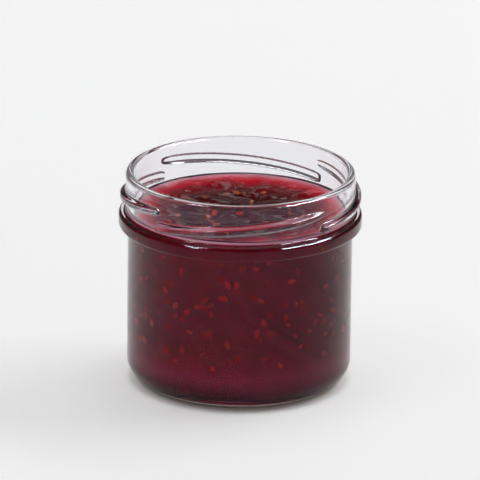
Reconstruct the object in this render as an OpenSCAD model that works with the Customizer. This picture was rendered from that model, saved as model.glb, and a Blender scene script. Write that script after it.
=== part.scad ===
// Small clear glass preserving jar with a four-lug twist-off mouth, lid off,
// filled with raspberry jam. Millimetres, +Z up, origin under the middle of
// the base, on the surface the jar stands on.

/* [Jar] */
// Height from the resting ring to the top of the rim
jar_h = 72; // [60:1:110]
// Outer diameter of the straight body
body_d = 75; // [62.5:0.5:84]
// Glass thickness of the body
body_wall = 2.3; // [1.6:0.1:3]
// Outer radius where the body turns into the base
heel_r = 7; // [4:0.5:10]

/* [Base] */
// Glass thickness of the base, at its edge
base_t = 3.4; // [2.8:0.1:8]
// Inner radius where the bore turns into the floor
floor_r = 6.5; // [4:0.5:10]
// Rise of the floor towards its middle
floor_crown = 0.8; // [0:0.1:2]
// Width of the flat ring that the jar rests on
ring_w = 3; // [2:0.5:6]
// Depth of the hollow under the base
hollow_h = 1.4; // [0.5:0.1:2.5]

/* [Mouth] */
// How far the neck stands out from the body
neck_out = 0.75; // [0:0.05:1.5]
// Glass thickness of the neck and rim
neck_wall = 2.8; // [2.2:0.1:3.4]
// Rounding of the outer edge of the rim
rim_out_r = 1.5; // [0.6:0.1:1.8]
// Rounding of the inner edge of the rim
rim_in_r = 1.1; // [0.4:0.1:1.4]

/* [Bead] */
// How far the bead under the thread stands out from the body
bead_out = 3.1; // [2.5:0.1:4.5]
// Distance from the top of the rim to the top of the bead
bead_drop = 13.8; // [12.8:0.1:18]
// Height of the bead
bead_h = 5; // [4:0.1:8]
// Rounding of the edges of the bead
bead_round = 1.3; // [0.5:0.1:1.4]
// Fillet where the bead meets the neck and the body
bead_fillet = 0.9; // [0.3:0.1:0.9]

/* [Thread lugs] */
// Number of lugs round the mouth
lug_count = 4; // [3:1:6]
// How far a lug stands out from the neck
lug_out = 1.95; // [1:0.05:2.2]
// Height of a lug where it leaves the neck
lug_h = 3.2; // [2.4:0.1:4]
// Rise of a lug from its blunt end to its tip
lug_rise = 5.4; // [3:0.1:6]
// Distance from the top of the rim to the middle of a lug
lug_drop = 8.4; // [6.6:0.1:9]
// Angle by which a lug runs on past the start of the next one
lug_lap = 3; // [0:1:8]

/* [Jam] */
// Distance from the top of the rim to the level of the jam
jam_drop = 13.4; // [8:0.1:40]
// Clearance between the jam and the glass
jam_gap = 0.05; // [0.02:0.01:0.2]
// Height that the jam creeps up the glass
creep_h = 0.8; // [0.5:0.1:2]
// Sag of the surface towards the middle
jam_sag = 0.8; // [0:0.1:2]
// Depth of the spooned hollows in the surface
scoop_depth = 1.8; // [1:0.1:4]

/* [Hidden] */

// Roundness of every turned surface
turn_fn = 180;
// Segments in a quarter of a rounded edge
edge_n = 8;
// Points along a domed line
dome_n = 10;

body_rad = body_d / 2;
bore_rad = body_rad - body_wall;
neck_rad = body_rad + neck_out;
mouth_rad = neck_rad - neck_wall;
bead_rad = body_rad + bead_out;
bead_top = jar_h - bead_drop;
bead_low = bead_top - bead_h;
ring_out = body_rad - heel_r;
ring_in = ring_out - ring_w;
floor_rad = bore_rad - floor_r;

// Roundings that a thin wall or a low bead limits
rim_out_fit = min(rim_out_r, neck_wall * 0.55);
rim_in_fit = min(rim_in_r, neck_wall * 0.4);
neck_fillet = min(bead_fillet, (bead_out - neck_out - bead_round) * 0.9);
body_fillet = min(bead_fillet, (bead_out - bead_round) * 0.9);

// Lug sweep: rings along a lug, points over its rounded section, and how deep
// it roots in the neck
lug_steps = 28;
lug_pts = 10;
lug_root = 0.8;
lug_mid = jar_h - lug_drop;
lug_span = 360 / lug_count + lug_lap;
// Parts of a lug's length that its blunt end and its tapered tip take
blunt_part = 0.05;
tip_part = 0.22;
// Share of the full section that is left at the very ends
lug_end = 0.12;
// Below 1, this fills out the shoulders of the rounded section
lug_full = 0.4;

jam_rad = mouth_rad - jam_gap;
jam_top = jar_h - jam_drop;
// Thickness of the jam's edge where its creep ends
creep_land = 0.3;
surface_rad = jam_rad - creep_land - creep_h;

// Spooned hollows: distance from the axis as a share of the surface's radius,
// direction, and radius of the ball that leaves each one
scoops = [
    [0.25, 200, 26],
    [0.45, 330, 19],
    [0.4, 80, 22]
];

// Points along an arc round (cx, cz) from angle a0 to a1
function arc(cx, cz, r, a0, a1, n = edge_n) = [
    for (i = [0 : n])
        let (a = a0 + (a1 - a0) * i / n)
        [cx + r * cos(a), cz + r * sin(a)]
];

// Points of a shallow dome from its foot at radius r and height z to the axis,
// where it is h higher
function dome(r, z, h, n = dome_n) = [
    for (i = [0 : n])
        let (share = 1 - i / n)
        [r * share, z + h * (1 - pow(share, 2))]
];

function reversed(list) = [for (i = [len(list) - 1 : -1 : 0]) list[i]];

// Inside of the glass from the axis out and up to z = top, with a gap to it
function inside(gap, top) = concat(
    reversed(dome(floor_rad, base_t + gap, floor_crown)),
    arc(floor_rad, base_t + floor_r, floor_r - gap, -90, 0),
    [
        [bore_rad - gap, bead_low],
        [mouth_rad - gap, bead_top],
        [mouth_rad - gap, top]
    ]
);

// Outside of the glass from the resting ring up and over the rim
function outside() = concat(
    [[ring_in, 0]],
    arc(ring_out, heel_r, heel_r, -90, 0),
    arc(body_rad + body_fillet, bead_low - body_fillet, body_fillet, 180, 90),
    arc(bead_rad - bead_round, bead_low + bead_round, bead_round, -90, 0),
    arc(bead_rad - bead_round, bead_top - bead_round, bead_round, 0, 90),
    arc(neck_rad + neck_fillet, bead_top + neck_fillet, neck_fillet, -90, -180),
    arc(neck_rad - rim_out_fit, jar_h - rim_out_fit, rim_out_fit, 0, 90),
    arc(mouth_rad + rim_in_fit, jar_h - rim_in_fit, rim_in_fit, 90, 180)
);

// Share of the full section along a lug, from its blunt end at s = 0 to its
// tip at s = 1
function lug_swell(s) =
    let (
        blunt = min(1, s / blunt_part),
        tip = min(1, (1 - s) / tip_part)
    )
    lug_end + (1 - lug_end) * sqrt(1 - pow(1 - blunt, 2)) * sqrt(1 - pow(1 - tip, 2));

// Section of a lug with its root in the neck, as distances from the jar's axis
// and heights over the middle of the lug
function lug_section(out, half) = [
    for (i = [0 : lug_pts])
        let (a = 180 * i / lug_pts - 90)
        [neck_rad - lug_root + (lug_root + out) * pow(cos(a), lug_full), half * sin(a)]
];

// Section of a lug at s, turned and lifted to its place on the helix
function lug_ring(s) =
    let (
        a = lug_span * (s - 1 / 2),
        z = lug_mid + lug_rise * (s - 1 / 2),
        swell = lug_swell(s)
    )
    [
        for (p = lug_section(lug_out * swell, lug_h / 2 * sqrt(swell)))
            [p[0] * cos(a), p[0] * sin(a), z + p[1]]
    ];

module lug() {
    m = len(lug_section(lug_out, lug_h));
    points = [for (i = [0 : lug_steps]) each lug_ring(i / lug_steps)];
    sides = [
        for (i = [0 : lug_steps - 1], j = [0 : m - 1])
            let (k = (j + 1) % m)
            each [
                [i * m + j, (i + 1) * m + k, (i + 1) * m + j],
                [i * m + j, i * m + k, (i + 1) * m + k]
            ]
    ];
    ends = [
        [for (j = [m - 1 : -1 : 0]) j],
        [for (j = [0 : m - 1]) lug_steps * m + j]
    ];
    polyhedron(points, concat(sides, ends), convexity = 4);
}

module glass_shell() {
    wall = concat(outside(), reversed(inside(0, jar_h - rim_in_fit)));
    rotate_extrude($fn = turn_fn)
        polygon(concat(wall, reversed(dome(ring_in, 0, hollow_h))));
}

module jar() {
    color([0.86, 0.9, 0.93, 0.4]) {
        glass_shell();
        // the middle of the first lug faces the front
        for (i = [0 : lug_count - 1])
            rotate([0, 0, i * 360 / lug_count - 90])
                lug();
    }
}

// Jam up to its level, creeping up the glass at its edge
module jam_fill() {
    creep = arc(surface_rad, jam_top + creep_h, creep_h, 0, -90);
    surface = dome(surface_rad, jam_top, -jam_sag);
    rotate_extrude($fn = turn_fn)
        polygon(concat(inside(jam_gap, jam_top + creep_h), creep, surface));
}

module scoop(s) {
    rotate([0, 0, s[1]])
        translate([s[0] * surface_rad, 0, jam_top - scoop_depth + s[2]])
            sphere(r = s[2], $fn = turn_fn);
}

module jam() {
    color([0.33, 0.1, 0.14])
        difference() {
            jam_fill();
            for (s = scoops)
                scoop(s);
        }
}

jar();
jam();
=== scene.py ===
"""Makes an open jam jar: clear glass with four thread lugs, raspberry jelly, pulp and seeds."""

import math

import bpy
import numpy as np
from bpy.props import FloatProperty, FloatVectorProperty, IntProperty, PointerProperty
from bpy.types import Operator, Panel, PropertyGroup
from mathutils import Euler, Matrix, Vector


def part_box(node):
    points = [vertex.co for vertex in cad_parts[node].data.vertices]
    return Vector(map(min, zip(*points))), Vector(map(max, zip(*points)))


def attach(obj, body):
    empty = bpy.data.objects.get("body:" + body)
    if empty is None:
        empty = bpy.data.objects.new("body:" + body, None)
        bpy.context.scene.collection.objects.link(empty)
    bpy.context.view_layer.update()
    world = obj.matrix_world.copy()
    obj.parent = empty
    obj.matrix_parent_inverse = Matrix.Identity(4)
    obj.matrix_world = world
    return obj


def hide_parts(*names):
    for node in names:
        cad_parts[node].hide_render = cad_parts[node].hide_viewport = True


bl_info = {
    "name": "Jam Jar",
    "version": (1, 0, 0),
    "blender": (4, 5, 0),
    "location": "View3D > Sidebar > Jam Jar",
    "description": "An open glass jar of raspberry jam, with its seeds, pulp and a plain studio",
    "category": "Add Mesh",
}

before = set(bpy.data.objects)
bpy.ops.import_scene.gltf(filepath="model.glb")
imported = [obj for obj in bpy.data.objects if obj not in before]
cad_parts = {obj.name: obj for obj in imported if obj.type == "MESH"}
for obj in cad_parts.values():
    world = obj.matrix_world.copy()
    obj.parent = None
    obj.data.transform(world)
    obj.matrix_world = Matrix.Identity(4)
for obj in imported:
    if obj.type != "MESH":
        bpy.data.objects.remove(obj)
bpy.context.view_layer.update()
JAR_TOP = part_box("jar")[1].z
JAM_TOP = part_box("jam")[1].z

MM = 0.001
# Points round a plain ring, round a ring of the threaded neck, and round a ring of the knurl
PLAIN_COLS, NECK_COLS, KNURL_COLS = 360, 720, 1440
# Material slots of the glass: polished, wet with jam, and pressed in the mould, the last painted
# cream as a highlight
CLEAR, WET, PRESSED = 0, 1, 2
# Material slots of the jelly: its free surface, and where it lies against the glass
FREE, HELD = 0, 1
# Spooned hollows: distance from the axis as a share of the surface's radius, direction in
# degrees, and radius in millimetres of the ball that leaves each one
SCOOPS = ((0.25, 200, 26), (0.45, 330, 19), (0.4, 80, 22))
# How unevenness runs over a surface: length of its waves, length of its ripples, and the
# heights of both
GLASS_WAVES = (11 * MM, 2 * MM, 0.06 * MM, 0.01 * MM)
JELLY_WAVES = (6 * MM, 2.6 * MM, 0.16 * MM, 0.01 * MM)


# ---------------------------------------------------------------- settings


def size(name, text, value, low=0.0, high=1.0):
    """A length that a user may change, in metres."""
    return FloatProperty(
        name=name, description=text, default=value, min=low, max=high, precision=5, unit="LENGTH"
    )


def colour(name, text, value):
    """A plain colour that a user may change."""
    return FloatVectorProperty(
        name=name, description=text, default=value, size=3, min=0.0, max=1.0, subtype="COLOR"
    )


class JarGlassSettings(PropertyGroup):
    """Sizes of the glass."""

    height: size("Height", "From the resting ring to the top of the rim", JAR_TOP)
    body_radius: size("Body radius", "Outer radius of the straight body", 37.5 * MM)
    body_wall: size("Body wall", "Glass thickness of the body", 2.3 * MM)
    heel: size("Heel radius", "Outer radius where the body turns into the base", 7 * MM)
    base: size("Base thickness", "Glass thickness of the base at its edge", 3.4 * MM)
    floor_round: size("Floor radius", "Inner radius where the bore turns into the floor", 6.5 * MM)
    floor_crown: size("Floor crown", "Rise of the floor towards its middle", 0.8 * MM)
    ring_width: size("Resting ring", "Width of the ring that the jar rests on", 3 * MM)
    hollow: size("Hollow", "Depth of the hollow under the base", 1.4 * MM)
    neck_out: size("Neck step", "How far the neck stands out from the body", 0.75 * MM)
    neck_wall: size("Neck wall", "Glass thickness of the neck", 2.8 * MM)
    rim_outer: size("Rim outer rounding", "Rounding of the outer edge of the rim", 1.5 * MM)
    rim_inner: size("Rim inner rounding", "Rounding of the inner edge of the rim", 1.1 * MM)
    bead_out: size("Bead step", "How far the bead stands out from the body", 3.1 * MM)
    bead_drop: size("Bead drop", "From the top of the rim to the top of the bead", 13.8 * MM)
    bead_height: size("Bead height", "Height of the bead", 5 * MM)
    bead_round: size("Bead rounding", "Rounding of the edges of the bead", 1.3 * MM)
    bead_fillet: size("Bead fillet", "Fillet between the bead, the neck and the body", 0.9 * MM)
    lug_count: IntProperty(
        name="Lugs", description="Number of thread lugs round the mouth", default=4, min=1, max=8
    )
    lug_out: size("Lug step", "How far a lug stands out from the neck", 1.95 * MM)
    lug_height: size("Lug height", "Height of a lug where it leaves the neck", 3.2 * MM)
    lug_rise: size("Lug rise", "Rise of a lug from its blunt end to its tip", 5.4 * MM)
    lug_drop: size("Lug drop", "From the top of the rim to the middle of a lug", 8.4 * MM)
    lug_lap: FloatProperty(
        name="Lug lap",
        description="Angle by which a lug runs on past the start of the next one",
        default=math.radians(3),
        subtype="ANGLE",
    )
    knurls: IntProperty(
        name="Knurls", description="Ribs pressed into the resting ring", default=132, min=12
    )
    knurl_depth: size("Knurl depth", "Depth of the valleys between the knurls", 0.22 * MM)
    seam_turn: FloatProperty(
        name="Seam turn",
        description="Direction across the mould seams, from the jar's right",
        default=math.radians(-18.7),
        subtype="ANGLE",
    )
    seam_height: size("Seam height", "How far a mould seam stands out", 0.06 * MM)
    tint: colour("Tint", "Colour that the glass lends to light", (0.92, 0.915, 0.95))


class JamSettings(PropertyGroup):
    """Sizes and colours of the jelly, the pulp in it and the seeds."""

    level: size("Contact line", "Height at which the jam's edge ends on the glass", JAM_TOP)
    creep: size("Creep", "Height that the jam creeps up the glass", 0.8 * MM)
    sag: size("Sag", "Sag of the surface towards the middle", 0.8 * MM)
    scoop: size("Scoop depth", "Depth of the spooned hollows", 1.8 * MM)
    lumps: size("Lumps", "Height of the lumps of the surface", 0.6 * MM)
    bite: size("Bite", "How far the jelly reaches into the glass, so that no gap shows", 0.15 * MM)
    pulp_depth: size("Pulp depth", "Clear jelly between the glass and the dense pulp", 4.5 * MM)
    jelly: colour("Jelly", "Share of each colour that the jelly keeps", (0.84, 0.1, 0.3))
    jelly_density: FloatProperty(
        name="Jelly density", description="Absorption per metre", default=500.0, min=0.0
    )
    pulp: colour("Pulp", "Colour of the dense pulp", (0.42, 0.022, 0.07))
    sunken: colour("Sunken spot", "Colour of seeds and shreds deep in the pulp", (0.7, 0.02, 0.04))
    seed_length: size("Seed length", "Length of a full-grown seed", 3.1 * MM)
    seed_width: size("Seed width", "Width of a full-grown seed", 1.8 * MM)
    seed_pale: colour("Pale seed", "Colour of the palest seeds", (0.85, 0.045, 0.04))
    seed_dark: colour("Dark seed", "Colour of the darkest seeds", (0.6, 0.02, 0.025))
    seed_top: colour("Top seed", "Colour of the seeds at the surface", (0.8, 0.15, 0.05))
    seed_pick: IntProperty(name="Random seed", description="Picks where the seeds lie", default=7)


class StageSettings(PropertyGroup):
    """Camera, lamps and floor of the plain studio."""

    distance: size("Camera distance", "From the camera to the jar", 2.2, 0.3, 10)
    aim: size("Aim height", "Height of the point that the camera looks at", 0.0475)
    elevation: FloatProperty(
        name="Elevation",
        description="Angle of the view above level",
        default=math.radians(19),
        subtype="ANGLE",
    )
    roll: FloatProperty(
        name="Roll", description="Tilt of the camera", default=0.012, subtype="ANGLE"
    )
    lens: FloatProperty(name="Lens", description="Focal length in millimetres", default=495.0)
    key_watts: FloatProperty(name="Key lamp", description="Power of the key lamp", default=22.0)
    side_watts: FloatProperty(name="Side lamp", description="Power of the side lamp", default=4.0)
    top_watts: FloatProperty(name="Top lamp", description="Power of the top lamp", default=12.0)
    shine_watts: FloatProperty(
        name="Shine", description="Power of the lamps that only show as highlights", default=500.0
    )
    jam_watts: FloatProperty(
        name="Jam lamp", description="Power of the lamp that only lights the jam", default=62.0
    )
    back_watts: FloatProperty(name="Back lamp", description="Power of the back lamp", default=3.0)
    sky: FloatProperty(name="Sky", description="Strength of the light from all round", default=0.12)
    glow: FloatProperty(
        name="Floor glow", description="Light that the floor gives off itself", default=0.53, min=0.0
    )
    floor: colour("Floor", "Colour of the floor", (0.86, 0.86, 0.865))
    wall: colour("Wall", "Colour of the wall that the floor turns up into", (0.13, 0.13, 0.13))


# ---------------------------------------------------------------- shapes


def arc(cx, cz, r, start, end, n):
    """Points (radius, height) along an arc, with its angles in degrees."""
    return [
        (cx + r * math.cos(a), cz + r * math.sin(a))
        for a in np.radians(np.linspace(start, end, n + 1))
    ]


def line(p, q, n):
    """Points from p to q, both left out."""
    return [
        (p[0] + (q[0] - p[0]) * i / n, p[1] + (q[1] - p[1]) * i / n) for i in range(1, n)
    ]


def dome(r, z, h, n):
    """Points of a shallow dome from its foot at radius r and height z to just off the axis."""
    return [(r * (1 - i / n), z + h * (1 - (1 - i / n) ** 2)) for i in range(n)]


def angles(cols):
    return np.arange(cols) * 2 * math.pi / cols


def ring(r, z, cols):
    """Points of one ring. r and z are numbers or arrays with a value for each point."""
    a = angles(cols)
    return np.stack([r * np.cos(a), r * np.sin(a), np.zeros(cols) + z], axis=1)


def turned(name, start, rings, end, slots):
    """A closed turned mesh from the pole at height start, through the rings, to the pole at end.

    Neighbouring rings hold equally many points, or one holds twice as many as the other.
    slots gives the material slot of each band of faces, the fans at both poles included.
    """
    points = [np.array([[0.0, 0.0, start]]), *rings, np.array([[0.0, 0.0, end]])]
    first = np.cumsum([0, *[len(p) for p in points]])
    faces, face_slots = [], []
    for k in range(len(points) - 1):
        a, b, fa, fb = len(points[k]), len(points[k + 1]), first[k], first[k + 1]
        if a == 1 or b == 1:
            n = max(a, b)
            i = np.arange(n)
            j = (i + 1) % n
            new = (
                [(fa, fb + q, fb + p) for p, q in zip(i, j)]
                if a == 1
                else [(fa + p, fa + q, fb) for p, q in zip(i, j)]
            )
        elif a == b:
            i = np.arange(a)
            j = (i + 1) % a
            new = [(fa + p, fa + q, fb + q, fb + p) for p, q in zip(i, j)]
        elif b == 2 * a:
            new = []
            for p in range(a):
                q, m, e = (p + 1) % a, 2 * p + 1, (2 * p + 2) % b
                new += [
                    (fa + p, fb + m, fb + 2 * p),
                    (fa + p, fa + q, fb + m),
                    (fa + q, fb + e, fb + m),
                ]
        elif a == 2 * b:
            new = []
            for p in range(b):
                q, m, e = (p + 1) % b, 2 * p + 1, (2 * p + 2) % a
                new += [
                    (fa + 2 * p, fa + m, fb + p),
                    (fa + m, fb + q, fb + p),
                    (fa + m, fa + e, fb + q),
                ]
        else:
            raise RuntimeError(f"{name}: a ring of {a} points can't join one of {b}")
        faces += new
        face_slots += [slots[k]] * len(new)
    mesh = bpy.data.meshes.new(name)
    mesh.from_pydata(np.concatenate(points).tolist(), [], [tuple(map(int, f)) for f in faces])
    mesh.polygons.foreach_set("material_index", face_slots)
    mesh.polygons.foreach_set("use_smooth", [True] * len(faces))
    mesh.update()
    if mesh.validate():
        raise RuntimeError(f"{name}: the mesh had faults")
    return mesh


def waves(a, seed, parts):
    """A smooth line round the jar: parts is a list of (waves round the jar, height)."""
    rng = np.random.default_rng(seed)
    return sum(h * np.sin(n * a + rng.uniform(0, 2 * math.pi)) for n, h in parts)


def bumps(x, y, seed, spacing, count=24):
    """Smooth random bumps in about -1..1, made of sine waves in many directions."""
    rng = np.random.default_rng(seed)
    total = np.zeros_like(x)
    for _ in range(count):
        d = rng.uniform(0, 2 * math.pi)
        k = 2 * math.pi / (spacing * rng.uniform(0.7, 1.6))
        total += np.sin(k * (x * math.cos(d) + y * math.sin(d)) + rng.uniform(0, 2 * math.pi))
    return total / math.sqrt(count)


def contact_line(jam, cols):
    """Height of the jam's edge on the glass, a little uneven."""
    parts = [(3, 0.1 * MM), (7, 0.07 * MM), (16, 0.04 * MM)]
    return jam.level - 0.05 * MM + waves(angles(cols), 3, parts)


def inside_sizes(jar):
    """Radii of the bore, the mouth and the floor's crown, and heights of the bead's two ends."""
    bore = jar.body_radius - jar.body_wall
    mouth = jar.body_radius + jar.neck_out - jar.neck_wall
    bead_top = jar.height - jar.bead_drop
    return bore, mouth, bore - jar.floor_round, bead_top - jar.bead_height, bead_top


def add_piece(name, mesh, materials):
    """An object in the scene with this mesh and these materials."""
    for m in materials:
        mesh.materials.append(m)
    piece = bpy.data.objects.new(name, mesh)
    bpy.context.scene.collection.objects.link(piece)
    return piece


# ---------------------------------------------------------------- glass


def lug_bulge(jar, cols, z):
    """How far the lugs stand out from the neck round a ring at height z."""
    a = angles(cols)
    span = 2 * math.pi / jar.lug_count + jar.lug_lap
    # Parts of a lug's length that its blunt end and its tapered tip take, how far its foot
    # spreads past its height, and how square its section is
    blunt_part, tip_part, foot_spread, squareness = 0.045, 0.22, 1.12, 2.4
    total = np.zeros(cols)
    for i in range(jar.lug_count):
        middle = 2 * math.pi * i / jar.lug_count - math.pi / 2
        s = ((a - middle + math.pi) % (2 * math.pi) - math.pi) / span + 0.5
        inside = (s > 0) & (s < 1)
        s = np.clip(s, 0, 1)
        blunt = np.clip(s / blunt_part, 0, 1)
        tip = np.clip((1 - s) / tip_part, 0, 1)
        swell = np.sqrt(1 - (1 - blunt) ** 2) * np.sqrt(1 - (1 - tip) ** 2)
        middle_z = jar.height - jar.lug_drop + jar.lug_rise * (s - 0.5)
        half = jar.lug_height / 2 * foot_spread * np.sqrt(np.maximum(swell, 0.02))
        u = np.clip(np.abs(z - middle_z) / half, 0, 1)
        lug = jar.lug_out * swell * (0.5 + 0.5 * np.cos(math.pi * u**squareness))
        total = np.maximum(total, np.where(inside, lug, 0))
    return total


def glass_mesh(jar, jam):
    """The whole jar as one closed skin of glass."""
    body = jar.body_radius
    neck = body + jar.neck_out
    bead = body + jar.bead_out
    bore, mouth, floor, bead_low, bead_top = inside_sizes(jar)
    ring_out = body - jar.heel
    ring_in = ring_out - jar.ring_width
    fillet = min(jar.bead_fillet, (jar.bead_out - jar.neck_out - jar.bead_round) * 0.9)
    rings, slots = [], []

    def add(points, cols=PLAIN_COLS, slot=CLEAR):
        for r, z in points:
            rings.append(ring(r, z, cols))
            slots.append(slot)

    def knurled(points):
        """Rings of the resting ring, with valleys that run out up the heel between its ribs."""
        run_out = 1.6 * MM
        valley = (0.5 - 0.5 * np.cos(jar.knurls * angles(KNURL_COLS))) ** 1.5
        for r, z in points:
            share = (r - ring_in) / (ring_out + run_out - ring_in)
            deep = jar.knurl_depth * math.sin(math.pi * min(max(share, 0), 1)) ** 0.7
            rings.append(ring(r, z + deep * valley, KNURL_COLS))
            slots.append(PRESSED)

    # Hollow under the base with its soft edge, resting ring with its knurl, heel and body
    lip = 0.35 * MM
    add(reversed(dome(ring_in - 0.5 * MM, lip, jar.hollow - lip, 8)))
    add([(ring_in - 0.15 * MM, 0.12 * MM)], NECK_COLS)
    knurled([(ring_in, 0), *line((ring_in, 0), (ring_out, 0), 5), (ring_out, 0)])
    heel = arc(ring_out, jar.heel, jar.heel, -90, 0, 18)
    knurled(heel[1:4])
    add(heel[4:5], NECK_COLS, slot=PRESSED)
    add(heel[5:8], slot=PRESSED)
    add(heel[8:])
    low = arc(body + fillet, bead_low - fillet, fillet, 180, 90, 6)
    add(line(heel[-1], low[0], 4))
    add(low)
    add(arc(bead - jar.bead_round, bead_low + jar.bead_round, jar.bead_round, -90, 0, 9))
    add(line((bead, bead_low + jar.bead_round), (bead, bead_top - jar.bead_round), 4))
    add(arc(bead - jar.bead_round, bead_top - jar.bead_round, jar.bead_round, 0, 90, 9))
    foot = arc(neck + fillet, bead_top + fillet, fillet, -90, -180, 6)
    add(foot[:3])

    # Threaded neck
    rim_low = jar.height - jar.rim_outer
    threaded = foot[3:] + line(foot[-1], (neck, rim_low), 46) + [(neck, rim_low)]
    for r, z in threaded:
        rings.append(ring(r + lug_bulge(jar, NECK_COLS, z), z, NECK_COLS))
        slots.append(CLEAR)

    # Rim, dry inner wall down to the jam's edge, wet wall and floor under it
    add(arc(neck - jar.rim_outer, jar.height - jar.rim_outer, jar.rim_outer, 0, 90, 10)[1:])
    add(arc(mouth + jar.rim_inner, jar.height - jar.rim_inner, jar.rim_inner, 90, 180, 9))
    edge = contact_line(jam, PLAIN_COLS)
    top = jar.height - jar.rim_inner
    dry_rows, wet_rows = 6, 2
    add([(mouth, top + (edge - top) * i / dry_rows) for i in range(1, dry_rows)])
    wet = [(mouth, edge + (bead_top - edge) * i / wet_rows) for i in range(wet_rows + 1)]
    add(wet, slot=WET)
    add(line((mouth, bead_top), (bore, bead_low), 5) + [(bore, bead_low)], slot=WET)
    bend = arc(floor, jar.base + jar.floor_round, jar.floor_round, 0, -90, 12)
    add(line((bore, bead_low), bend[0], 4) + bend, slot=WET)
    add(dome(floor, jar.base, jar.floor_crown, 8)[1:], slot=WET)
    return turned("jar_glass", jar.hollow, rings, jar.base + jar.floor_crown, [CLEAR, *slots])


# ---------------------------------------------------------------- jam


def jam_floor(jar, grow):
    """Outline of what lies on the floor of the glass, from near the axis out and up its bend.

    grow is how far it reaches into the glass, or if negative how far it stays away from it.
    """
    floor = inside_sizes(jar)[2]
    crown = reversed(dome(floor, jar.base, jar.floor_crown, 10)[1:])
    bend = arc(floor, jar.base + jar.floor_round, jar.floor_round + grow, -90, 0, 14)
    return [(r, z - grow) for r, z in crown] + bend


def jam_side(jar, grow):
    """Outline of what fills the glass, from near the axis out and up to the bead's top.

    grow is as for jam_floor.
    """
    bore, mouth, _, bead_low, bead_top = inside_sizes(jar)
    low, high = (bore + grow, bead_low), (mouth + grow, bead_top)
    bottom = jam_floor(jar, grow)
    return [*bottom, *line(bottom[-1], low, 10), low, *line(low, high, 4), high]


def jam_height(jar, jam, x, y):
    """Height of the jam's surface, with its sag, spooned hollows and lumps."""
    land, blend = 0.35 * MM, 0.5 * MM
    edge = inside_sizes(jar)[1] - land
    level = jam.level - jam.creep
    r = np.hypot(x, y)
    z = level - jam.sag * (1 - np.minimum(r / (edge - jam.creep), 1) ** 2)
    for share, way, ball in SCOOPS:
        cx, cy = (share * (edge - jam.creep) * f(math.radians(way)) for f in (math.cos, math.sin))
        d2 = (x - cx) ** 2 + (y - cy) ** 2
        bowl = level - jam.scoop + d2 / (2 * ball * MM)
        # The lower of the two, with a soft edge between them
        gap = (z - bowl) / blend
        z = z - blend * np.where(gap > 30, gap, np.log1p(np.exp(np.minimum(gap, 30))))
    calm = np.clip((edge - r) / (5 * MM), 0, 1)
    z += jam.lumps * calm * (0.7 * bumps(x, y, 11, 11 * MM) + 0.25 * bumps(x, y, 12, 6 * MM))
    off = np.maximum(edge + land - r, 0)
    return z + (jam.level - level) * np.exp(-off / (1.3 * MM))


def jelly_mesh(jar, jam):
    """Clear jelly that fills the jar, with its uneven upper surface."""
    cols = PLAIN_COLS
    mouth = inside_sizes(jar)[1]
    edge_z = contact_line(jam, cols)
    rings = [ring(r, z, cols) for r, z in jam_side(jar, jam.bite)]
    slots = [HELD] * len(rings)
    rings.append(ring(mouth + jam.bite, edge_z, cols))
    rings.append(ring(mouth, edge_z, cols))
    a = angles(cols)
    radii = [mouth - d * MM for d in (0.08, 0.2, 0.35, 0.5, 0.7, 0.95, 1.25, 1.6, 2.0, 2.6, 3.3)]
    radii += list(np.linspace(mouth - 4 * MM, 0.6 * MM, 96))
    for r in radii:
        z = jam_height(jar, jam, r * np.cos(a), r * np.sin(a))
        blend = np.clip((mouth - r) / (1.2 * MM), 0, 1)
        rings.append(ring(r, z + (edge_z - jam.level) * (1 - blend), cols))
    slots += [FREE] * (len(rings) - len(slots))
    middle = float(jam_height(jar, jam, np.array([0.0]), np.array([0.0]))[0])
    start = jar.base + jar.floor_crown - jam.bite
    return turned("jam_jelly", start, rings, middle, [HELD, *slots])


def pulp_mesh(jar, jam):
    """Dense pulp in the jelly: close to the glass at the floor and at the surface."""
    cols = PLAIN_COLS
    a = angles(cols)
    bore, mouth, _, bead_low, _ = inside_sizes(jar)
    # Jelly where the pulp is closest to the glass, and height over which it draws in from there
    thin, draw = 0.1 * MM, 9 * MM
    outline = jam_floor(jar, -thin)
    top = jam.level - 0.5 * MM
    low = outline[-1][1]
    rows = 40
    for i in range(1, rows + 1):
        z = low + (top - low) * i / rows
        share = math.sin(math.pi / 2 * min(1, (z - low) / draw, (top - z) / draw)) ** 2
        inset = thin + (jam.pulp_depth - thin) * share
        wall = bore + (mouth - bore) * min(max((z - bead_low) / jar.bead_height, 0), 1)
        outline.append((wall - inset, z))
    # Lumps down the side, all read off at one radius, that die out at the floor and the surface
    lump_at, lump_out = 33 * MM, 0.7 * MM
    rings = []
    for r, z in outline:
        lump = bumps(lump_at * np.cos(a) + z, lump_at * np.sin(a) + z * 0.7, 21, 10 * MM)
        calm = min(1, r / (8 * MM)) * min(1, max(0, (z - low) / draw)) * min(1, (top - z) / draw)
        rings.append(ring(r + lump_out * lump * calm, z, cols))
    edge = outline[-1][0]
    radii = [edge - d * MM for d in (0.15, 0.35, 0.6, 0.9, 1.3, 1.8, 2.4)]
    radii += list(np.linspace(edge - 3.2 * MM, 0.6 * MM, 60))
    for r in radii:
        z = jam_height(jar, jam, r * np.cos(a), r * np.sin(a))
        under = 0.25 * MM + 2.4 * MM * min(1, (edge - r) / (14 * MM))
        rings.append(ring(r, z - under, cols))
    end = float(np.mean(rings[-1][:, 2]))
    start = jar.base + jar.floor_crown + thin
    return turned("jam_pulp", start, rings, end, [0] * (len(rings) + 1))


# ---------------------------------------------------------------- nodes


def new_node(tree, kind, inputs=(), **values):
    """A node with values for its settings, and numbers, colours or sockets for its inputs."""
    made = tree.nodes.new(kind)
    for key, value in values.items():
        setattr(made, key, value)
    for key, value in dict(inputs).items():
        if hasattr(value, "is_linked"):
            tree.links.new(value, made.inputs[key])
        else:
            made.inputs[key].default_value = value
    return made


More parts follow.
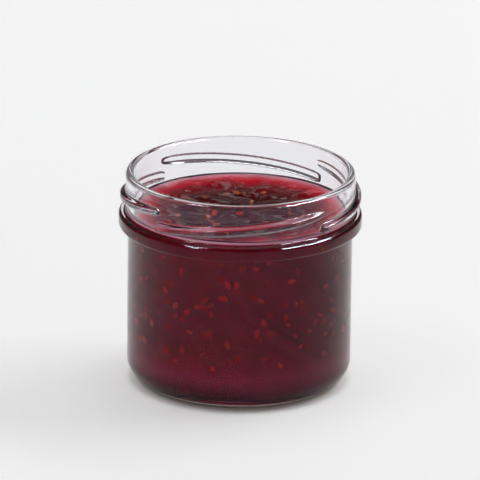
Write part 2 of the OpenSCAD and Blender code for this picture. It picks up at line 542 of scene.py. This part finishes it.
def maths(tree, operation, *values):
    """What a Math node makes of numbers or sockets."""
    return new_node(tree, "ShaderNodeMath", enumerate(values), operation=operation).outputs[0]


def vector_maths(tree, operation, *values):
    """A Vector Math node on vectors or sockets."""
    return new_node(tree, "ShaderNodeVectorMath", enumerate(values), operation=operation)


# ---------------------------------------------------------------- seeds


def seed_tree():
    """Geometry Nodes that scatter seeds on and under a surface."""
    tree = bpy.data.node_groups.new("Scattered seeds", "GeometryNodeTree")
    io = tree.interface
    io.new_socket("Geometry", in_out="INPUT", socket_type="NodeSocketGeometry")
    for name, value in (
        ("Seed Length", 2.6 * MM),
        ("Seed Width", 1.5 * MM),
        ("Density", 20000.0),
        ("Spacing", 2 * MM),
        ("Nearest", 1 * MM),
        ("Deepest", 6 * MM),
    ):
        io.new_socket(name, in_out="INPUT", socket_type="NodeSocketFloat").default_value = value
    io.new_socket("Random Seed", in_out="INPUT", socket_type="NodeSocketInt")
    io.new_socket("Material", in_out="INPUT", socket_type="NodeSocketMaterial")
    io.new_socket("Geometry", in_out="OUTPUT", socket_type="NodeSocketGeometry")
    given = tree.nodes.new("NodeGroupInput").outputs
    out = tree.nodes.new("NodeGroupOutput")

    def random_value(step, inputs, **values):
        """A Random Value node with its own place in the run of random seeds."""
        pick = maths(tree, "ADD", given["Random Seed"], step)
        return new_node(tree, "FunctionNodeRandomValue", {"Seed": pick, **inputs}, **values)

    # One seed: a ball drawn out along X, narrowed towards its tip and a little flat
    narrowing, flatness = 0.55, 0.72
    ball = new_node(tree, "GeometryNodeMeshUVSphere", {"Segments": 8, "Rings": 6, "Radius": 0.5})
    place = new_node(tree, "GeometryNodeInputPosition")
    part = new_node(tree, "ShaderNodeSeparateXYZ", {0: place.outputs[0]}).outputs
    narrow = maths(tree, "SUBTRACT", 1.0, maths(tree, "MULTIPLY", part["X"], narrowing))
    wide = maths(tree, "MULTIPLY", narrow, given["Seed Width"])
    drawn = new_node(
        tree,
        "ShaderNodeCombineXYZ",
        {
            "X": maths(tree, "MULTIPLY", part["X"], given["Seed Length"]),
            "Y": maths(tree, "MULTIPLY", part["Y"], wide),
            "Z": maths(tree, "MULTIPLY", maths(tree, "MULTIPLY", part["Z"], wide), flatness),
        },
    )
    shape = new_node(
        tree,
        "GeometryNodeSetPosition",
        {"Geometry": ball.outputs["Mesh"], "Position": drawn.outputs[0]},
    )

    # Places: spread over the surface, then sunk to their own depths
    spread = new_node(
        tree,
        "GeometryNodeDistributePointsOnFaces",
        {
            "Mesh": given["Geometry"],
            "Distance Min": given["Spacing"],
            "Density Max": given["Density"],
            "Seed": given["Random Seed"],
        },
        distribute_method="POISSON",
    )
    depth = random_value(1, {2: given["Nearest"], 3: given["Deepest"]}, data_type="FLOAT")
    inward = vector_maths(tree, "SCALE", spread.outputs["Normal"])
    tree.links.new(maths(tree, "MULTIPLY", depth.outputs[1], -1.0), inward.inputs["Scale"])
    lower = new_node(
        tree,
        "GeometryNodeSetPosition",
        {"Geometry": spread.outputs["Points"], "Offset": inward.outputs[0]},
    )

    # Seeds: turned each their own way, with sizes and tones of their own
    ways = {0: (-0.5, -0.5, 0), 1: (0.5, 0.5, 2 * math.pi)}
    turn = random_value(2, ways, data_type="FLOAT_VECTOR")
    grow = random_value(3, {2: 0.72, 3: 1.12}, data_type="FLOAT")
    tone = random_value(4, {}, data_type="FLOAT")
    lie = new_node(
        tree,
        "FunctionNodeRotateRotation",
        {0: spread.outputs["Rotation"], 1: turn.outputs[0]},
        rotation_space="LOCAL",
    )
    copies = new_node(
        tree,
        "GeometryNodeInstanceOnPoints",
        {
            "Points": lower.outputs[0],
            "Instance": shape.outputs[0],
            "Rotation": lie.outputs[0],
            "Scale": grow.outputs[1],
        },
    )
    mark = new_node(
        tree,
        "GeometryNodeStoreNamedAttribute",
        {"Name": "tone", "Geometry": copies.outputs[0], "Value": tone.outputs[1]},
        data_type="FLOAT",
        domain="INSTANCE",
    )
    real = new_node(tree, "GeometryNodeRealizeInstances", {0: mark.outputs[0]})
    smooth = new_node(tree, "GeometryNodeSetShadeSmooth", {0: real.outputs[0]})
    paint = new_node(
        tree,
        "GeometryNodeSetMaterial",
        {"Geometry": smooth.outputs[0], "Material": given["Material"]},
    )
    tree.links.new(paint.outputs[0], out.inputs[0])
    return tree


def scattered(name, base_mesh, tree, values):
    """A plain mesh of the seeds that the tree scatters over base_mesh."""
    base = bpy.data.objects.new(name, base_mesh)
    bpy.context.scene.collection.objects.link(base)
    modifier = base.modifiers.new("Seeds", "NODES")
    modifier.node_group = tree
    for item in tree.interface.items_tree:
        if item.in_out == "INPUT" and item.name in values:
            modifier[item.identifier] = values[item.name]
    graph = bpy.context.evaluated_depsgraph_get()
    made = bpy.data.meshes.new_from_object(base.evaluated_get(graph), depsgraph=graph)
    bpy.data.objects.remove(base)
    return made


# ---------------------------------------------------------------- materials


def new_material(name, values):
    """A material of one Principled shader, with values for that shader's own sockets."""
    material = bpy.data.materials.new(name)
    material.use_nodes = True
    tree = material.node_tree
    tree.nodes.clear()
    out = tree.nodes.new("ShaderNodeOutputMaterial")
    shader = new_node(tree, "ShaderNodeBsdfPrincipled", values)
    tree.links.new(shader.outputs[0], out.inputs["Surface"])
    return material, tree, shader, out


def faded(tree, value, low, high, start=0.0, end=1.0, kind="LINEAR"):
    """A number that goes from start, where value is low, to end, where value is high."""
    made = new_node(
        tree,
        "ShaderNodeMapRange",
        {0: value, 1: low, 2: high, 3: start, 4: end},
        interpolation_type=kind,
    )
    return made.outputs[0]


def mixed(tree, share, first, second):
    """A colour between first and second, which are plain colours or sockets."""
    first, second = (c if hasattr(c, "is_linked") else (*c, 1) for c in (first, second))
    made = new_node(tree, "ShaderNodeMix", {0: share, 6: first, 7: second}, data_type="RGBA")
    return made.outputs[2]


def object_place(tree):
    """Where a point of the surface lies, and its height."""
    where = new_node(tree, "ShaderNodeTexCoord").outputs["Object"]
    return where, new_node(tree, "ShaderNodeSeparateXYZ", {0: where}).outputs["Z"]


def axis_distance(tree, where):
    """Distance from the jar's axis."""
    flat = vector_maths(tree, "MULTIPLY", where, (1, 1, 0))
    return vector_maths(tree, "LENGTH", flat.outputs[0]).outputs["Value"]


def uneven_group():
    """Slow waves and fine ripples over a surface, as a height in metres."""
    name = "Uneven surface"
    if name in bpy.data.node_groups:
        return bpy.data.node_groups[name]
    tree = bpy.data.node_groups.new(name, "ShaderNodeTree")
    for socket, value in (
        ("Wave", 0.02),
        ("Ripple", 0.003),
        ("Wave Height", 1e-5),
        ("Ripple Height", 1e-6),
    ):
        made = tree.interface.new_socket(socket, in_out="INPUT", socket_type="NodeSocketFloat")
        made.default_value = value
    tree.interface.new_socket("Height", in_out="OUTPUT", socket_type="NodeSocketFloat")
    given, out = tree.nodes.new("NodeGroupInput"), tree.nodes.new("NodeGroupOutput")
    where = new_node(tree, "ShaderNodeTexCoord").outputs["Object"]
    lifts = []
    for length, height in (("Wave", "Wave Height"), ("Ripple", "Ripple Height")):
        scale = maths(tree, "DIVIDE", 1.0, given.outputs[length])
        noise = new_node(
            tree, "ShaderNodeTexNoise", {"Vector": where, "Scale": scale, "Detail": 1.0}
        )
        lifts.append(maths(tree, "MULTIPLY", noise.outputs[0], given.outputs[height]))
    tree.links.new(maths(tree, "ADD", *lifts), out.inputs[0])
    return tree


def add_unevenness(tree, shader, wave, ripple, wave_height, ripple_height, ridge=None):
    """Waves and ripples in a surface, and a ridge on it where the height of one is given."""
    group = new_node(
        tree,
        "ShaderNodeGroup",
        {
            "Wave": wave,
            "Ripple": ripple,
            "Wave Height": wave_height,
            "Ripple Height": ripple_height,
        },
        node_tree=uneven_group(),
    )
    height = group.outputs[0]
    if ridge is not None:
        height = maths(tree, "ADD", height, ridge)
    bump = new_node(tree, "ShaderNodeBump", {"Height": height, "Distance": 1.0})
    tree.links.new(bump.outputs[0], shader.inputs["Normal"])


def glass_material(jar):
    """Clear polished glass, a little wavy, with two mould seams down its outside."""
    values = {
        "Base Color": (*jar.tint, 1),
        "Transmission Weight": 1,
        "Roughness": 0.0,
        "IOR": 1.5,
        "Specular Tint": (0.42, 0.36, 0.5, 1),
    }
    material, tree, shader, _ = new_material("clear glass", values)
    where = object_place(tree)[0]
    seam_way = (math.cos(jar.seam_turn), math.sin(jar.seam_turn), 0)
    across = vector_maths(tree, "DOT_PRODUCT", where, seam_way).outputs["Value"]
    away = maths(tree, "ABSOLUTE", across)
    ridge = faded(tree, away, 0.0, 0.3 * MM, jar.seam_height, 0.0, "SMOOTHSTEP")
    outside = maths(tree, "GREATER_THAN", axis_distance(tree, where), jar.body_radius - 0.6 * MM)
    add_unevenness(tree, shader, *GLASS_WAVES, ridge=maths(tree, "MULTIPLY", ridge, outside))
    return material


def wet_glass_material(jar):
    """Inner side of the glass where jam lies against it, which hardly bends or mirrors light."""
    values = {
        "Base Color": (*jar.tint, 1),
        "Transmission Weight": 1,
        "Roughness": 0.0,
        "IOR": 1.01,
    }
    material, tree, shader, _ = new_material("wet glass", values)
    add_unevenness(tree, shader, *GLASS_WAVES)
    return material


def pressed_glass_painted_highlight_material():
    """Resting ring, dulled by the mould and by wear, its cream colour partly that frosting and
    partly a painted highlight of the bright floor along its lower edge.
    """
    values = {
        # Cream: partly frosted glass, partly a painted highlight of the floor's light
        "Base Color": (1.0, 0.9, 0.83, 1),
        "Transmission Weight": 0.12,
        "Roughness": 0.3,
        "IOR": 1.5,
    }
    return new_material("pressed glass with painted highlight", values)[0]


def jelly_material(jam, name, values):
    """Clear red jelly that soaks up light along the way through it."""
    plain = {"Base Color": (1, 1, 1, 1), "Transmission Weight": 1, "Roughness": 0.0}
    material, tree, shader, out = new_material(name, {**plain, **values})
    red = {"Color": (*jam.jelly, 1), "Density": jam.jelly_density}
    volume = new_node(tree, "ShaderNodeVolumeAbsorption", red)
    tree.links.new(volume.outputs[0], out.inputs["Volume"])
    return material, tree, shader


def free_jelly_material(jam):
    """Surface of the jelly in the air, wet and uneven."""
    values = {"IOR": 1.38, "Specular Tint": (0.4, 0.4, 0.4, 1)}
    material, tree, shader = jelly_material(jam, "jelly surface", values)
    add_unevenness(tree, shader, *JELLY_WAVES)
    return material


def held_jelly_material(jam):
    """Surface of the jelly inside the glass, which doesn't show."""
    return jelly_material(jam, "jelly on glass", {"IOR": 1.0})[0]


def pulp_material(jar, jam):
    """Dense raspberry pulp, with painted pale light where it is thin against the glass at the
    surface, for light shining through the thin edge.
    """
    values = {"Roughness": 0.8, "Specular IOR Level": 0.0}
    material, tree, shader, _ = new_material("pulp", values)
    mouth = inside_sizes(jar)[1]
    where, height = object_place(tree)
    radius = axis_distance(tree, where)

    # Under the surface: painted pale light at the glass, where light shines through the thin edge,
    # and dark in the middle
    painted_glow_ramp = new_node(tree, "ShaderNodeValToRGB", {0: faded(tree, radius, mouth, mouth - 20 * MM)})
    stops = (
        (0.03, (0.95, 0.55, 0.65)),
        (0.1, (1.0, 0.24, 0.31)),
        (0.2, (0.9, 0.035, 0.08)),
        (0.38, (0.36, 0.006, 0.024)),
        (0.8, (0.13, 0.004, 0.016)),
    )
    painted_glow_ramp.color_ramp.elements.remove(painted_glow_ramp.color_ramp.elements[0])
    painted_glow_ramp.color_ramp.elements[0].position = stops[0][0]
    painted_glow_ramp.color_ramp.elements[0].color = (*stops[0][1], 1)
    for place, tint in stops[1:]:
        painted_glow_ramp.color_ramp.elements.new(place).color = (*tint, 1)

    # Down the side: red flesh, darker and paler in places, with soft spots of what is sunk in it
    noise = new_node(tree, "ShaderNodeTexNoise", {"Vector": where, "Scale": 180.0, "Detail": 3.0})
    dark, pale = ([c * part for c in jam.pulp] for part in (0.75, 1.25))
    flesh = mixed(tree, noise.outputs[0], dark, pale)
    spots = new_node(
        tree, "ShaderNodeTexVoronoi", {"Vector": where, "Scale": 190.0, "Randomness": 1.0}
    )
    soft = faded(tree, spots.outputs["Distance"], 0.1, 0.34, 1.0, 0.0, "SMOOTHSTEP")
    pick = new_node(tree, "ShaderNodeSeparateColor", {0: spots.outputs["Color"]}).outputs[0]
    shown = maths(tree, "MULTIPLY", soft, faded(tree, pick, 0.55, 0.75))
    side = mixed(tree, shown, flesh, jam.sunken)

    # The two meet along a slant that falls towards the axis, and the foot of the side is dimmer
    slope = 0.45
    slanted = maths(tree, "MULTIPLY_ADD", radius, -slope, height)
    meeting = jam.level - slope * mouth
    high = faded(tree, slanted, meeting - 1.9 * MM, meeting - 0.9 * MM, kind="SMOOTHSTEP")
    shade = vector_maths(tree, "SCALE", mixed(tree, high, side, painted_glow_ramp.outputs[0]))
    dim = faded(tree, height, jar.base + 2 * MM, jar.base + 13 * MM, 0.42, 1.0)
    tree.links.new(dim, shade.inputs["Scale"])
    tree.links.new(shade.outputs[0], shader.inputs["Base Color"])
    return material


def seed_material(jam):
    """Hard pitted seeds, each with a tone of its own, red in the jelly and orange at its top."""
    values = {"Roughness": 0.5, "Specular IOR Level": 0.1}
    material, tree, shader, _ = new_material("seeds", values)
    where, height = object_place(tree)
    tone = new_node(tree, "ShaderNodeAttribute", attribute_name="tone")
    deep = mixed(tree, tone.outputs["Fac"], jam.seed_dark, jam.seed_pale)
    high = faded(tree, height, jam.level - 6 * MM, jam.level - 4 * MM)
    tree.links.new(mixed(tree, high, deep, jam.seed_top), shader.inputs["Base Color"])
    pits = new_node(tree, "ShaderNodeTexVoronoi", {"Vector": where, "Scale": 3500.0})
    bump = new_node(
        tree,
        "ShaderNodeBump",
        {"Height": pits.outputs["Distance"], "Distance": 0.1 * MM, "Strength": 0.5},
    )
    tree.links.new(bump.outputs[0], shader.inputs["Normal"])
    return material


def floor_material(stage):
    """Matt floor, pale round the jar and darker far out, that gives off a little light itself, with
    a painted contact shadow under the jar.
    """
    values = {"Emission Strength": stage.glow, "Roughness": 1.0, "Specular IOR Level": 0.0}
    material, tree, shader, _ = new_material("studio floor", values)
    where = object_place(tree)[0]
    away = vector_maths(tree, "LENGTH", where).outputs["Value"]
    far = faded(tree, away, 0.9, 2.4, kind="SMOOTHSTEP")
    paint = mixed(tree, far, stage.floor, stage.wall)
    tree.links.new(paint, shader.inputs["Base Color"])
    # Painted contact shadow: the floor gives off no light of its own under the jar, centred 2 mm in
    # front of its axis
    beside = vector_maths(tree, "ADD", where, (0.0, 2 * MM, 0.0))
    under = vector_maths(tree, "LENGTH", beside.outputs[0]).outputs["Value"]
    glow = vector_maths(tree, "SCALE", paint)
    painted_contact_shadow = faded(tree, under, 32 * MM, 39 * MM, kind="SMOOTHSTEP")
    tree.links.new(painted_contact_shadow, glow.inputs["Scale"])
    tree.links.new(glow.outputs[0], shader.inputs["Emission Color"])
    return material


# ---------------------------------------------------------------- stage


def floor_mesh():
    """A wide floor that turns up into a wall all round."""
    cols = 96
    outline = [(0.2, 0), (0.6, 0), (1.5, 0), (2.8, 0), *arc(2.8, 0.8, 0.8, -80, 0, 10), (3.6, 2.2)]
    points = [np.array([[0.0, 0.0, 0.0]]), *[ring(r, z, cols) for r, z in outline]]
    faces = [(0, 1 + i, 1 + (i + 1) % cols) for i in range(cols)]
    for k in range(len(outline) - 1):
        low, high = 1 + k * cols, 1 + (k + 1) * cols
        for i in range(cols):
            j = (i + 1) % cols
            faces.append((low + i, high + i, high + j, low + j))
    mesh = bpy.data.meshes.new("studio_floor")
    mesh.from_pydata(np.concatenate(points).tolist(), [], faces)
    mesh.polygons.foreach_set("use_smooth", [True] * len(faces))
    mesh.update()
    return mesh


def limit_lamp(data, in_mirrors):
    """Makes a lamp show in mirror images only, or light only what lies behind glass or in jelly."""
    data.use_nodes = True
    tree = data.node_tree
    path = new_node(tree, "ShaderNodeLightPath").outputs
    if in_mirrors:
        share = maths(tree, "LESS_THAN", path["Diffuse Depth"], 0.5)
    else:
        lit = maths(tree, "GREATER_THAN", path["Diffuse Depth"], 0.5)
        deep = maths(tree, "GREATER_THAN", path["Transmission Depth"], 1.5)
        share = maths(tree, "MULTIPLY", lit, deep)
    tree.links.new(share, tree.nodes["Emission"].inputs["Strength"])


def add_lamp(name, place, wide, watts):
    """A flat lamp that faces the origin. place is its turn, its lift and its distance."""
    data = bpy.data.lights.new(name, "AREA")
    data.shape = "RECTANGLE"
    data.size, data.size_y = wide
    data.energy = watts
    lamp = bpy.data.objects.new(name, data)
    turn, lift = (math.radians(v) for v in place[:2])
    flat = place[2] * math.cos(lift)
    lamp.location = (flat * math.sin(turn), -flat * math.cos(turn), place[2] * math.sin(lift))
    lamp.rotation_euler = (-lamp.location).to_track_quat("-Z", "Y").to_euler()
    bpy.context.scene.collection.objects.link(lamp)
    return lamp


def add_camera(stage):
    """The camera in front of the jar, a little above it."""
    lens = bpy.data.cameras.new("camera")
    lens.lens = stage.lens
    lens.sensor_width = 36
    lens.clip_end = 20
    camera = bpy.data.objects.new("camera", lens)
    camera.location = (
        0,
        -stage.distance * math.cos(stage.elevation),
        stage.aim + stage.distance * math.sin(stage.elevation),
    )
    camera.rotation_mode = "XYZ"
    look = Euler((math.pi / 2 - stage.elevation, 0, 0)).to_matrix()
    roll = Euler((0, 0, stage.roll)).to_matrix()
    camera.rotation_euler = (look @ roll).to_euler()
    bpy.context.scene.collection.objects.link(camera)
    bpy.context.scene.camera = camera
    return camera


# ---------------------------------------------------------------- operators


class JAMJAR_OT_glass(Operator):
    """Make the glass of the jar"""

    bl_idname = "jam_jar.glass"
    bl_label = "Glass"

    def execute(self, context):
        jar, jam = context.scene.jar_glass, context.scene.jam
        glass = add_piece(
            "jar_glass",
            glass_mesh(jar, jam),
            [glass_material(jar), wet_glass_material(jar), pressed_glass_painted_highlight_material()],
        )
        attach(glass, "root")
        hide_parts("jar")
        return {"FINISHED"}


class JAMJAR_OT_jelly(Operator):
    """Make the clear jelly and the pulp in it"""

    bl_idname = "jam_jar.jelly"
    bl_label = "Jelly and pulp"

    def execute(self, context):
        jar, jam = context.scene.jar_glass, context.scene.jam
        jelly = add_piece(
            "jam_jelly",
            jelly_mesh(jar, jam),
            [free_jelly_material(jam), held_jelly_material(jam)],
        )
        pulp = add_piece("jam_pulp", pulp_mesh(jar, jam), [pulp_material(jar, jam)])
        for piece in (jelly, pulp):
            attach(piece, "root")
        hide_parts("jam")
        return {"FINISHED"}


class JAMJAR_OT_seeds(Operator):
    """Scatter the raspberry seeds in the jelly"""

    bl_idname = "jam_jar.seeds"
    bl_label = "Seeds"

    def execute(self, context):
        jar, jam = context.scene.jar_glass, context.scene.jam
        tree = seed_tree()
        skin = seed_material(jam)
        cols = 120
        side = jam_side(jar, -0.2 * MM)
        wall = turned(
            "seed_wall",
            jar.base + jar.floor_crown,
            [ring(r, z, cols) for r, z in side],
            jam.level - jam.creep - 1.2 * MM,
            [0] * (len(side) + 1),
        )
        values = {
            "Seed Length": jam.seed_length,
            "Seed Width": jam.seed_width,
            "Density": 24000.0,
            "Spacing": 2.6 * MM,
            "Nearest": 0.9 * MM,
            "Deepest": jam.pulp_depth,
            "Random Seed": jam.seed_pick,
            "Material": skin,
        }
        seeds = add_piece("jam_seeds", scattered("seed_base", wall, tree, values), [])
        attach(seeds, "root")
        return {"FINISHED"}


class JAMJAR_OT_stage(Operator):
    """Set up the floor, the lamps and the camera"""

    bl_idname = "jam_jar.stage"
    bl_label = "Stage"

    def execute(self, context):
        scene, stage = context.scene, context.scene.jam_stage
        floor = add_piece("studio_floor", floor_mesh(), [floor_material(stage)])
        lamps = [
            add_lamp("key_lamp", (118, 48, 3.0), (1.9, 0.6), stage.key_watts),
            add_lamp("side_lamp", (-70, 60, 2.8), (1.2, 0.8), stage.side_watts),
            add_lamp("top_lamp", (180, 75, 2.8), (1.6, 1.6), stage.top_watts),
            add_lamp("back_lamp", (168, 42, 2.6), (1.1, 0.6), stage.back_watts),
        ]
        shines = [
            add_lamp("right_shine", (78, 44, 2.9), (2.7, 0.8), stage.shine_watts),
            add_lamp("left_shine", (-54, 50, 2.7), (0.75, 0.6), stage.shine_watts * 0.2),
        ]
        for shine in shines:
            shine.visible_diffuse = shine.visible_transmission = False
            limit_lamp(shine.data, in_mirrors=True)
        jam_lamp = add_lamp("jam_lamp", (-25, 48, 2.8), (2.6, 1.8), stage.jam_watts)
        limit_lamp(jam_lamp.data, in_mirrors=False)
        lit = bpy.data.collections.new("lit by the jam lamp")
        for name in ("jar_glass", "jam_jelly", "jam_pulp", "jam_seeds"):
            if name in bpy.data.objects:
                lit.objects.link(bpy.data.objects[name])
        jam_lamp.light_linking.receiver_collection = lit

        world = bpy.data.worlds.new("studio sky")
        world.use_nodes = True
        sky = world.node_tree.nodes["Background"]
        sky.inputs["Color"].default_value = (1, 1, 1, 1)
        sky.inputs["Strength"].default_value = stage.sky
        scene.world = world

        camera = add_camera(stage)
        scene.view_settings.view_transform = "Standard"
        scene.cycles.max_bounces = 24
        scene.cycles.transmission_bounces = 24
        scene.cycles.glossy_bounces = 12
        scene.cycles.diffuse_bounces = 5
        scene.cycles.sample_clamp_indirect = 4.0
        scene.cycles.blur_glossy = 1.5
        return {"FINISHED"}


class JAMJAR_PT_panel(Panel):
    """Lists the pieces of the jam jar and their sizes"""

    bl_idname = "JAMJAR_PT_panel"
    bl_label = "Jam Jar"
    bl_space_type = "VIEW_3D"
    bl_region_type = "UI"
    bl_category = "Jam Jar"

    def draw(self, context):
        for maker in MAKERS:
            self.layout.operator(maker.bl_idname)
        for settings in (context.scene.jar_glass, context.scene.jam, context.scene.jam_stage):
            box = self.layout.box()
            for name in settings.bl_rna.properties.keys():
                if name not in {"rna_type", "name"}:
                    box.prop(settings, name)


MAKERS = (JAMJAR_OT_glass, JAMJAR_OT_jelly, JAMJAR_OT_seeds, JAMJAR_OT_stage)
CLASSES = (JarGlassSettings, JamSettings, StageSettings, *MAKERS, JAMJAR_PT_panel)


def register():
    for cls in CLASSES:
        bpy.utils.register_class(cls)
    bpy.types.Scene.jar_glass = PointerProperty(type=JarGlassSettings)
    bpy.types.Scene.jam = PointerProperty(type=JamSettings)
    bpy.types.Scene.jam_stage = PointerProperty(type=StageSettings)


def unregister():
    for name in ("jam_stage", "jam", "jar_glass"):
        delattr(bpy.types.Scene, name)
    for cls in reversed(CLASSES):
        bpy.utils.unregister_class(cls)


def main():
    register()
    bpy.ops.jam_jar.glass()
    bpy.ops.jam_jar.jelly()
    bpy.ops.jam_jar.seeds()
    bpy.ops.jam_jar.stage()


if __name__ == "__main__":
    main()
